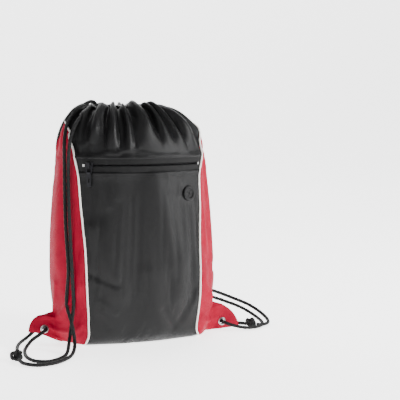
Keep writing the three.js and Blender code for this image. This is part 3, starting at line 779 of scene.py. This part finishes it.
class Shell:
    """The settled cloth as a smooth surface over (u, h) on each side."""

    def __init__(self, cord_lines):
        index, points, rest, held, faces = shell_mesh()
        settled = simulate(points, rest, held, faces)
        u, h = shell_grid()
        self.grids = []
        for side in (FRONT, BACK):
            start = points[index[side]]
            grid = keep_near(settled[index[side]], start, h, side)
            grid[..., 1] = part_ears(grid[..., 1], u, h, side)
            self.grids.append(grid)
        self.cord_lines = cord_lines

    def at(self, side, u, h):
        """Bicubic points of the surface. On the front, u past 1 goes on round the back."""
        u, h = np.broadcast_arrays(np.asarray(u, float), np.asarray(h, float))
        if side == FRONT and (np.abs(u) > 1).any():
            behind = self.at(BACK, np.sign(u) * np.minimum(2 - np.abs(u), 1), h)
            return np.where((np.abs(u) > 1)[..., None], behind, self.at(FRONT, np.clip(u, -1, 1), h))
        column = (np.clip(u, -1, 1) + 1) / 2 * COLUMNS
        row = np.interp(h, ROWS, np.arange(len(ROWS)))
        grid = self.grids[side]
        i, j = np.floor(column).astype(int), np.floor(row).astype(int)
        s, t = column - i, row - j
        across, along = cubic_weights(s), cubic_weights(t)
        total = 0
        for dj in range(4):
            jj = np.clip(j + dj - 1, 0, len(ROWS) - 1)
            line = 0
            for di in range(4):
                ii = np.clip(i + di - 1, 0, COLUMNS)
                line = line + across[di][..., None] * grid[jj, ii]
            total = total + along[dj][..., None] * line
        return total

    def normal(self, side, u, h):
        limit = 1.3 if side == FRONT else 1
        across = (self.at(side, np.minimum(u + 0.01, limit), h)
                  - self.at(side, np.maximum(u - 0.01, -limit), h))
        upward = self.at(side, u, np.minimum(h + 2, HEIGHT)) - self.at(side, u, np.maximum(h - 2, 0))
        sign = 1 if side == FRONT else -1
        return unit(np.cross(across, upward)) * sign

    def clear(self, points, distance=PANEL_CLEARANCE):
        """Moves points off the cords, apart from those beside an eyelet."""
        flat = points.reshape(-1, 3)
        moved = flat
        for line in self.cord_lines:
            moved = clear_of(moved, line, distance)
        beside = eyelet_distance(flat)[:, None] < EYELET_BESIDE
        return np.where(beside, flat, moved).reshape(points.shape)


def eyelet_places():
    return [sum(np.array(corner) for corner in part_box(node)) / 2 / MM
            for node in ("left_eyelet", "right_eyelet")]


def eyelet_distance(points):
    """How far points are from the nearer eyelet's axis, which runs along Y."""
    return np.min([np.hypot(points[..., 0] - place[0], points[..., 2] - place[2])
                   for place in eyelet_places()], axis=0)


def punched(points, faces):
    """Cuts the round holes that the eyelets sit in."""
    away = eyelet_distance(points)
    faces = faces[away[faces].mean(axis=1) > EYELET_HOLE]
    for place in eyelet_places():
        out = points[:, (0, 2)] - place[[0, 2]]
        gap = np.linalg.norm(out, axis=1, keepdims=True)
        pushed = place[[0, 2]] + out * EYELET_HOLE / np.maximum(gap, 0.01)
        points[:, (0, 2)] = np.where(gap < EYELET_HOLE, pushed, points[:, (0, 2)])
    used, faces = np.unique(faces, return_inverse=True)
    return points[used], faces.reshape(-1, 4), used


def cubic_weights(t):
    """Catmull-Rom weights for the four points round a place."""
    return (-0.5 * t + t * t - 0.5 * t ** 3, 1 - 2.5 * t * t + 1.5 * t ** 3,
            0.5 * t + 2 * t * t - 1.5 * t ** 3, -0.5 * t * t + 0.5 * t ** 3)


# --- Panels -----------------------------------------------------------------------------------

def flat_place(u, h):
    """Where a place on the cloth lies on the flat cut, for the weave."""
    return np.stack(np.broadcast_arrays(u * HALF_WIDTH + HALF_WIDTH, h), axis=-1)


def pucker(distance, along):
    """Small puckers that a seam draws into the cloth beside it."""
    size, reach = 0.55, 6.0
    ripple = np.sin(along / 2.3) + 0.7 * np.sin(along / 3.7 + 1.3) + 0.5 * np.sin(along / 1.3 + 0.4)
    return size * 0.45 * ripple * np.exp(-np.maximum(distance, 0) / reach)


def grid_faces(rows, columns, keep=None):
    j, i = np.mgrid[0:rows, 0:columns]
    wide = columns + 1
    quads = np.stack([j * wide + i, j * wide + i + 1, (j + 1) * wide + i + 1, (j + 1) * wide + i], -1)
    if keep is not None:
        quads = quads[keep]
    return quads.reshape(-1, 4)


def cloth_piece(name, side, points, faces, flat, finish):
    """A panel's grid as a piece with thickness, with the holes for the eyelets cut out."""
    if side == BACK:
        faces = faces[:, ::-1]
    points, faces, used = punched(points.reshape(-1, 3), faces)
    piece = new_piece(name, points, faces, finish, flat.reshape(-1, 2)[used])
    solid = piece.modifiers.new("thickness", "SOLIDIFY")
    solid.thickness = CLOTH * MM
    solid.offset = 0
    solid.use_even_offset = False
    return piece


def panel(shell, name, side, left, right, low, high, pitch, finish, outset):
    """A piece of cloth between two edges, which are functions of h, and two flat heights."""
    rows = int((high - low) / pitch)
    middle = (low + high) / 2
    columns = max(int((right(middle) - left(middle)) * HALF_WIDTH / pitch), 8)
    h = np.linspace(low, high, rows + 1)[:, None] * np.ones((1, columns + 1))
    share = np.linspace(0, 1, columns + 1)[None, :]
    u = left(h) + (right(h) - left(h)) * share
    points = shell.at(side, u, h) + shell.normal(side, u, h) * outset(u, h)[..., None]
    points = above_floor(shell.clear(points))
    return cloth_piece(name, side, points, grid_faces(rows, columns), flat_place(u, h), finish)


def piping_pucker(sign):
    """Puckers along the piping for a panel on its inner (-1) or outer (1) side."""
    def outset(u, h):
        distance = sign * (np.abs(u) - piping_u(h, u)) * HALF_WIDTH
        edge = np.exp(-np.maximum(distance, 0) / 1.6)
        return pucker(distance, h + 40 * (u > 0)) + 0.5 * edge
    return outset


def hem_fold(shell, side, u, t):
    """The hem past h = HEIGHT: t from 0 to 1 over the fold, then to 2 down the inside."""
    drop, follow = 17, 0.45
    top = np.full_like(u, HEIGHT)
    outer = shell.at(side, u, HEIGHT)
    inner = on_side(wall(u, top, inset=CHANNEL), side)
    inner = inner + (outer - on_side(wall(u, top), side)) * follow
    angle = np.minimum(t, 1) * math.pi
    share = (1 - np.cos(angle)) / 2
    points = outer * (1 - share)[..., None] + inner * share[..., None]
    points[..., 2] += CHANNEL * 0.42 * np.sin(angle) - np.maximum(t - 1, 0) * drop
    return points


def top_panel(shell, name, side, low, left, right, finish, outset):
    """A panel that reaches the top: its wall, and above it the hem that folds over the cords."""
    columns, fine_from, fine_pitch, fold_cut = 170, 410, 1.8, 14
    wall_h = np.concatenate([
        np.arange(low, fine_from, CELL), np.arange(fine_from, HEIGHT, fine_pitch), [HEIGHT],
    ])
    fold = np.concatenate([np.linspace(0, 1, 9)[1:], np.linspace(1, 2, 9)[1:]])[:, None]
    share = np.linspace(0, 1, columns + 1)[None, :]
    from_left, from_right = left(wall_h)[:, None], right(wall_h)[:, None]
    u = from_left + (from_right - from_left) * share
    h = wall_h[:, None] * np.ones_like(u)
    points = shell.at(side, u, h) + shell.normal(side, u, h) * outset(u, h)[..., None]
    hem_u = np.repeat(u[-1:], len(fold), axis=0)
    folded = hem_fold(shell, side, hem_u, fold * np.ones_like(hem_u))
    points = above_floor(shell.clear(np.vstack([points, folded]), HEM_CLEARANCE))
    u, h = np.vstack([u, hem_u]), np.vstack([h, HEIGHT + fold * fold_cut * np.ones_like(hem_u)])
    cell_u, cell_h = (np.abs(u[:-1, :-1]) + np.abs(u[:-1, 1:])) / 2, (h[:-1, 1:] + h[1:, 1:]) / 2
    keep = (cell_u < CHANNEL_END) | (cell_h < HEIGHT - HEM + 1)
    faces = grid_faces(len(points) - 1, columns, keep)
    return cloth_piece(name, side, points, faces, flat_place(u, h), finish)


# Soft folds on the pocket and the side panels: two ends (u, h), half width and height in mm.
POCKET_FOLDS = (
    ((-0.10, 292), (-0.14, 70), 17, -3.2), ((0.08, 285), (0.27, 165), 18, 3.4),
    ((0.47, 245), (0.30, 110), 12, 2.2), ((0.02, 150), (0.16, 60), 14, 2.0),
    ((-0.46, 215), (-0.25, 120), 14, 3.2), ((-0.52, 150), (-0.28, 134), 4.5, -2.0),
    ((-0.42, 108), (-0.30, 92), 5, 1.9), ((-0.44, 84), (-0.36, 66), 4, -1.5),
    ((-0.30, 297), (-0.27, 262), 5, 1.1), ((-0.42, 297), (-0.35, 250), 6, 1.2),
    ((0.20, 297), (0.23, 268), 5, 1.0), ((0.36, 297), (0.34, 262), 5, -1.0),
    ((0.50, 120), (0.36, 74), 6, -1.8), ((0.16, 92), (0.30, 62), 5, -1.5),
)
SIDE_FOLDS = (
    ((0.76, 330), (0.72, 120), 9, -2.2), ((0.88, 300), (0.85, 150), 10, 1.6),
    ((0.96, 40), (0.72, 98), 4.5, 2.8), ((0.84, 30), (0.62, 66), 4.5, 2.6),
    ((0.74, 16), (0.58, 30), 4, 1.8), ((0.97, 60), (0.88, 118), 5, 2.0),
    ((0.60, 128), (0.74, 92), 6, 2.0), ((0.60, 190), (0.68, 150), 6, -1.6),
    ((0.57, 100), (0.66, 78), 4, -1.4),
)


def folds(table, u, h):
    """Soft ridges and hollows along short lines on the cloth."""
    total = 0 * (u + h)
    for (u_a, h_a), (u_b, h_b), width, height in table:
        start, end = np.array([u_a * ACROSS, h_a]), np.array([u_b * ACROSS, h_b])
        run = end - start
        x, y = u * ACROSS - start[0], h - start[1]
        share = np.clip((x * run[0] + y * run[1]) / run.dot(run), 0, 1)
        far = np.hypot(x - share * run[0], y - share * run[1])
        total = total + height * np.exp(-(far / width) ** 2)
    return total


def gathers(u, h, seed, count=19):
    """Sharp narrow valleys that the drawcord's gathering leaves, running down from the mouth."""
    random = np.random.default_rng(seed)
    total = 0 * (u + h)
    girth = half_girth(h)
    tops = np.linspace(-0.86, 0.9, count) + random.uniform(-0.035, 0.035, count)
    for top in tops:
        low = random.uniform(300, 372)
        lean = random.uniform(-0.02, 0.09) + 0.05 * top
        width = random.uniform(2.0, 4.2)
        depth = random.uniform(1.6, 4.4)
        down = np.clip((440 - h) / 120, 0, 1)
        across = (u - top - lean * down) * girth
        broad = width * (1 + 1.1 * down)
        shape = 0.55 * np.exp(-((across + 2.1 * broad) / broad) ** 2) - np.exp(-(across / broad) ** 2)
        total = total + depth * shape * smoothstep(low, low + 42, h) * (1 - 0.6 * smoothstep(424, 440, h))
    return total


def zip_fold(h, edge, sign):
    """The folded edge over the zip's tape stands a little proud."""
    return 0.9 * (1 - smoothstep(0, 14, sign * (h - edge)))


def upper_outset(u, h):
    beside_piping = np.where(h < PIPING_TOP, piping_pucker(-1)(u, h), 0)
    return zip_fold(h, UPPER_EDGE, 1) + beside_piping + gathers(u, h, 5)


def pocket_outset(u, h):
    return zip_fold(h, POCKET_EDGE, -1) + piping_pucker(-1)(u, h) + folds(POCKET_FOLDS, u, h)


def side_outset(u, h):
    """Nothing sinks in on an ear, where the other layer lies right behind."""
    out = piping_pucker(1)(u, h) + folds(SIDE_FOLDS, np.abs(u), h)
    ear = smoothstep(0.6, 0.68, np.abs(u)) * (1 - smoothstep(85, 110, h))
    return np.maximum(out, 0) * ear + out * (1 - ear)


def back_outset(u, h):
    return gathers(u, h, 8, 21)


def beside_piping(end, offset, most=1.0):
    """An edge beside the piping on one side, as a function of h."""
    return lambda h: end * np.minimum(piping_u(h, end) + offset, most)


def upper_edge(end):
    """The upper cloth's edge follows the piping, and above it the side seam."""
    return lambda h: np.where(h < PIPING_TOP, beside_piping(end, -PIPING_GAP)(h), end)


def make_panels(shell):
    side_end = 0.998
    upper = top_panel(
        shell, "front_upper_cloth", FRONT, UPPER_EDGE, upper_edge(-1), upper_edge(1),
        "black_polyester", upper_outset,
    )
    pocket = panel(
        shell, "front_pocket_cloth", FRONT, beside_piping(-1, -PIPING_GAP),
        beside_piping(1, -PIPING_GAP), 0, POCKET_EDGE, CELL, "black_polyester", pocket_outset,
    )
    left = panel(
        shell, "left_side_cloth", FRONT, lambda h: -1 - seam_wrap(h),
        beside_piping(-1, PIPING_GAP, side_end), 0, PIPING_TOP - 1, CELL, "red_polyester", side_outset,
    )
    right = panel(
        shell, "right_side_cloth", FRONT, beside_piping(1, PIPING_GAP, side_end),
        lambda h: 1 + seam_wrap(h), 0, PIPING_TOP - 1, CELL, "red_polyester", side_outset,
    )
    back = top_panel(
        shell, "back_cloth", BACK, 0, lambda h: seam_wrap(h) - 1, lambda h: 1 - seam_wrap(h),
        "black_polyester", back_outset,
    )
    lining = make_lining(shell)
    for piece, node in ((upper, "front_upper_panel"), (pocket, "front_pocket_panel"),
                        (left, "left_side_panel"), (right, "right_side_panel"),
                        (back, "back_panel"), (lining, "pocket_lining")):
        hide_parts(node)


def make_lining(shell):
    """The pocket's lining hangs behind the front, sewn into the seams round it."""
    low, high, pitch = 66, 332, 5.0

    def depth(u, h):
        edge = piping_u(h, u) + 0.02
        from_side = smoothstep(0, 0.12, 1 - np.abs(u) / edge)
        from_end = smoothstep(low, 84, h) * (1 - smoothstep(320, 330, h))
        return -(4.8 + 6 * from_side * from_end)
    return panel(shell, "pocket_lining_cloth", FRONT, beside_piping(-1, -0.01),
                 beside_piping(1, -0.01), low, high, pitch, "lining_polyester", depth)


def make_piping(shell, name, end, node):
    """A covered bead in the curved seam between the front and a side panel."""
    h = np.arange(1.2, PIPING_TOP - 1, 1.5)
    u = end * piping_u(h, end)
    points = shell.at(FRONT, u, h) + shell.normal(FRONT, u, h) * 0.8
    points = above_floor(shell.clear(points, PIPING_CLEARANCE), PIPING_RADIUS + 0.5)
    line, along = smooth_curve(points[::3], 1.4)

    def radii(angle, distance):
        return PIPING_RADIUS + 0.06 * np.sin(distance * 1.9) + 0.05 * np.sin(distance * 0.7 + angle)
    piping = tube(name, line, along, radii, 12, "piping_cover")
    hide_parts(node)


# --- Stitching and the zip --------------------------------------------------------------------

def stitch_line(points, normals):
    """Rings and faces of a row of stitches lying on the cloth."""
    sides = 6
    along = run_length(points)
    starts = np.arange(0.5, along[-1] - STITCH_LONG, STITCH_PITCH)
    shares = np.array([0, 0.12, 0.5, 0.88, 1.0])
    radii = np.array([0.25, 0.85, 1.0, 0.85, 0.25]) * STITCH_RADIUS
    places = (starts[:, None] + shares * STITCH_LONG).ravel()
    middle = walk(points, along, places)
    up = unit(walk(normals, along, places))
    ahead = unit(walk(points, along, places + 0.5) - middle)
    reach = np.tile(radii, len(starts))[:, None, None]
    rings = middle[:, None] + circles(unit(np.cross(ahead, up)), up, sides) * reach
    faces = []
    for k in range(len(starts)):
        first = k * len(shares) * sides
        last = first + (len(shares) - 1) * sides
        for ring in range(first, last, sides):
            for i in range(sides):
                a, b = ring + i, ring + (i + 1) % sides
                faces.append((a, b, b + sides, a + sides))
        faces.append(tuple(range(first, first + sides)))
        faces.append(tuple(range(last + sides - 1, last - 1, -1)))
    return rings.reshape(-1, 3), faces


def make_stitching(shell, name, rows, finish):
    """Rows of topstitching. Each row is a side, u and h along it, and its panel's outset."""
    points, faces = [], []
    count = 0
    for side, u, h, outset in rows:
        u, h = np.broadcast_arrays(np.asarray(u, float), np.asarray(h, float))
        normals = shell.normal(side, u, h)
        line = shell.clear(shell.at(side, u, h) + normals * outset(u, h)[..., None])
        line = above_floor(line + normals * (CLOTH / 2 + 0.1), STITCH_RADIUS + 0.1)
        rings, quads = stitch_line(line, normals)
        points.append(rings)
        faces += [tuple(v + count for v in quad) for quad in quads]
        count += len(rings)
    return new_piece(name, np.vstack(points), faces, finish)


def make_all_stitching(shell):
    """Two rows above and below the zip, one at each hem and one beside each piping."""
    near, far, hem_row, beside = 2.2, 7.0, 2.5, 3.4

    def across(h, margin=0.012):
        return np.linspace(-piping_u(h, -1) + margin, piping_u(h, 1) - margin, 260)

    hem_u, hem_h = np.linspace(-CHANNEL_END, CHANNEL_END, 300), HEIGHT - HEM + hem_row
    upper = [(FRONT, across(h), h, upper_outset) for h in (UPPER_EDGE + near, UPPER_EDGE + far)]
    upper.append((FRONT, hem_u, hem_h, upper_outset))
    pocket = [(FRONT, across(h), h, pocket_outset) for h in (POCKET_EDGE - near, POCKET_EDGE - far)]
    back = [(BACK, hem_u, hem_h, back_outset)]
    make_stitching(shell, "front_upper_stitching", upper, "black_polyester")
    make_stitching(shell, "front_pocket_stitching", pocket, "black_polyester")
    make_stitching(shell, "back_hem_stitching", back, "black_polyester")
    h = np.linspace(6, PIPING_TOP - 8, 300)
    for name, end in (("left_side_stitching", -1), ("right_side_stitching", 1)):
        u = end * (piping_u(h, end) + beside / HALF_WIDTH)
        make_stitching(shell, name, [(FRONT, u, h, side_outset)], "red_polyester")


def make_zip_coil(name, node, sign):
    """One side of a nylon coil zip: a wire wound along the edge of the tape."""
    deep, tall, steps = 0.62, 0.4, 10
    turns = int(2 * COIL_HALF_ANGLE * ZIP_RADIUS / COIL_PITCH)
    t = np.linspace(0, turns, turns * steps)
    angle = (t / turns * 2 - 1) * COIL_HALF_ANGLE
    radius = ZIP_RADIUS + deep * np.cos(TAU * t)
    axis_y = ZIP_RADIUS - table_value(LEVELS, "b", ZIP_H)
    line = np.stack([BODY_X + radius * np.sin(angle), axis_y - radius * np.cos(angle),
                     ZIP_Z + sign * (COIL_OUT + tall * np.sin(TAU * t))], axis=-1)
    coil = tube(name, line, run_length(line), lambda angle, _: COIL_WIRE + 0 * angle, 6, "zipper_coil")
    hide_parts(node)


def make_zip_tab(shell, name, end):
    """The folded tab of cloth that closes the zip between its end stop and the piping."""
    stop = ZIP_HALF_ANGLE * ZIP_RADIUS / half_girth(ZIP_H) - 0.006
    edges = [lambda h: end * (stop + 0 * h), beside_piping(end, -0.004)]
    left, right = edges[::end]
    return panel(shell, name, FRONT, left, right, POCKET_EDGE - 4, UPPER_EDGE + 4, 1.2,
                 "black_polyester", lambda u, h: -0.35 + 0 * h)


# --- Build ------------------------------------------------------------------------------------

FINISHES = {
    "black_polyester": woven("black_polyester", (0.0042, 0.0042, 0.0045), 0.38, 0.02, specular=0.17),
    "red_polyester": woven("red_polyester", (0.295, 0.0026, 0.022), 0.62, 0.0, specular=0.08),
    "lining_polyester": woven("lining_polyester", (0.018, 0.018, 0.019), 0.7, 0.1),
    "piping_cover": woven("piping_cover", (0.84, 0.81, 0.77), 0.6, 0.2, yarn=0.4, spread=0.05),
    "zipper_tape": woven("zipper_tape", (0.004, 0.004, 0.0042), 0.6, 0.03, source="Object",
                         specular=0.15),
    "zipper_coil": hard("zipper_coil", (0.012, 0.012, 0.013), 0.4, **MOULDED),
    "silver_metal": hard("silver_metal", (0.46, 0.46, 0.455), 0.3, **METAL),
    "dark_metal": hard("dark_metal", (0.02, 0.02, 0.022), 0.36, **METAL),
    "port_rubber": hard("port_rubber", (0.004, 0.004, 0.0043), 0.55, **MOULDED),
    "braided_cord": braided("braided_cord", (0.0035, 0.0035, 0.0038)),
}

make_camera()
make_lights()
make_floor()

left_knot = make_knot("left_knot", "left_cord_knot", 0.4)
right_knot = make_knot("right_knot", "right_cord_knot", 1.7)
left_line = make_cord("left_drawcord", LEFT_ROUTE, "left_cord")
right_line = make_cord("right_drawcord", RIGHT_ROUTE, "right_cord")

shell = Shell([left_line, right_line])
make_panels(shell)
make_piping(shell, "left_piping_bead", -1, "left_piping")
make_piping(shell, "right_piping_bead", 1, "right_piping")
make_all_stitching(shell)
make_zip_coil("upper_zip_coil", "zipper_teeth_upper", 1)
make_zip_coil("lower_zip_coil", "zipper_teeth_lower", -1)
make_zip_tab(shell, "left_zip_tab", -1)
make_zip_tab(shell, "right_zip_tab", 1)

KEPT = {
    "zipper_tape_upper": "zipper_tape", "zipper_tape_lower": "zipper_tape",
    "zipper_stop_left": "silver_metal", "zipper_stop_right": "silver_metal",
    "slider_body": "dark_metal", "pull_link": "dark_metal", "pull_tab": "dark_metal",
    "earphone_port_grommet": "port_rubber", "earphone_port_washer": "port_rubber",
    "left_eyelet": "silver_metal", "left_eyelet_washer": "silver_metal",
    "right_eyelet": "silver_metal", "right_eyelet_washer": "silver_metal",
}
for node, finish in KEPT.items():
    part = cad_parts[node]
    for slot in part.material_slots:
        slot.material = FINISHES[finish]
    edges = part.modifiers.new("edges", "BEVEL")
    edges.width = EDGE_ROUND * MM
    edges.segments = 2
    edges.limit_method = "ANGLE"
    edges.angle_limit = math.radians(50)
    edges.harden_normals = False
